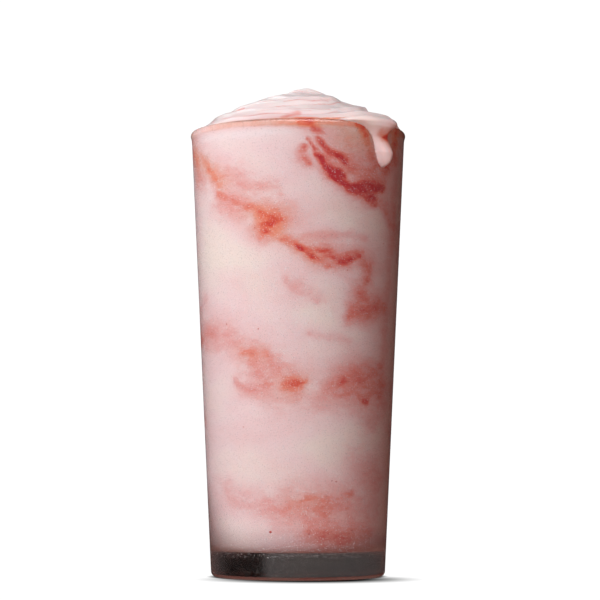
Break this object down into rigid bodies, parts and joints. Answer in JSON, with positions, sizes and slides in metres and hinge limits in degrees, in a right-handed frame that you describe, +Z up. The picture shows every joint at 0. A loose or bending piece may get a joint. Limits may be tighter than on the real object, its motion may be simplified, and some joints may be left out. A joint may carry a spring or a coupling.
{
  "type": "strawberry milkshake",
  "caption": "Pale pink milkshake marbled with red syrup in a tall tapered glass tumbler, with a folded swirl above the rim and a drip running over it.",
  "frame": {"origin": "on the tumbler's axis, at the surface that it stands on", "axes": "+Z up along the tumbler's axis, -Y towards the shown side, +X to the right as seen from that side"},
  "size_m": [0.0778, 0.0778, 0.1765],
  "materials": {
    "clear_glass": "clear moulded soda-lime glass, fire-polished at the rim and misted with fine condensation",
    "milkshake_pink": "moist, thick and opaque, pale pink with orange-red and deep red syrup marbled in"
  },
  "bodies": {
    "root": {"glass": "clear_glass", "milkshake": "milkshake_pink"}
  },
  "joints": []
}
